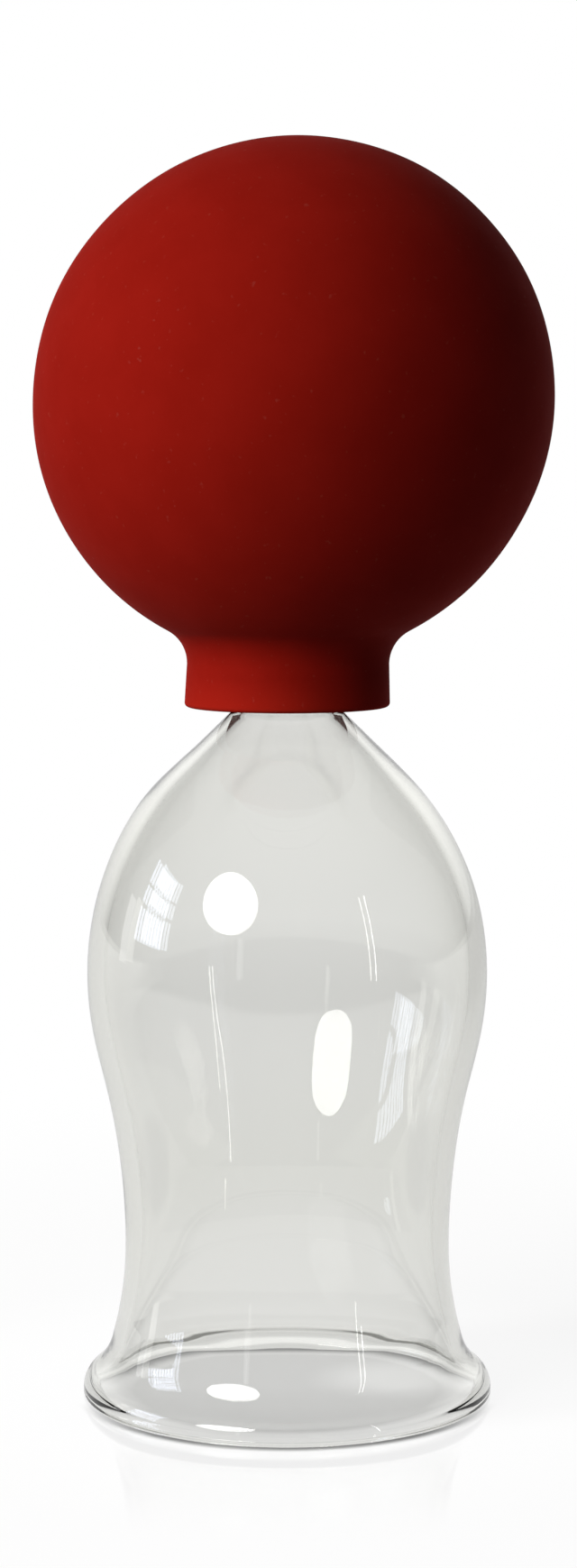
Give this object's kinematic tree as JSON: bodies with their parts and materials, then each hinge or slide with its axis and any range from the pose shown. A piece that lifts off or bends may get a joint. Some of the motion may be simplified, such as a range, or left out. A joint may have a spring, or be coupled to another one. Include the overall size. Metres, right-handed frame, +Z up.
{
  "type": "cupping glass",
  "caption": "Clear blown-glass suction cup with a flared rim, drawn-in waist and full belly, its stem plugged into a hollow red rubber squeeze ball that draws the vacuum.",
  "frame": {"origin": "centre of the rim's resting face, on the table that the cup stands on", "axes": "+Z up along the common axis of cup, stem and ball; -Y is the side pressed by the thumb, +Y the side pressed by the fingers"},
  "size_m": [0.0624, 0.0624, 0.1522],
  "materials": {
    "clear_glass": "fire-polished, clear",
    "red_rubber": "moulded, matte"
  },
  "bodies": {
    "glass": {"glass_cup": "clear_glass"},
    "ball": {"rubber_ball": "red_rubber"},
    "thumb_side": {"ball_thumb_side": "red_rubber"},
    "finger_side": {"ball_finger_side": "red_rubber"}
  },
  "joints": [
    {"name": "ball_pull_off", "type": "slide", "parent": "glass", "child": "ball", "axis": [0, 0, 1], "range_m": [0, 0.025]},
    {"name": "thumb_squeeze", "type": "slide", "parent": "ball", "child": "thumb_side", "axis": [0, 1, 0], "range_m": [0, 0.015], "stiffness_N_per_m": 500},
    {"name": "finger_squeeze", "type": "slide", "parent": "ball", "child": "finger_side", "axis": [0, -1, 0], "range_m": [0, 0.015], "stiffness_N_per_m": 500}
  ],
  "couplings": [
    {"joint": "finger_squeeze", "follows": "thumb_squeeze", "ratio": 1}
  ]
}
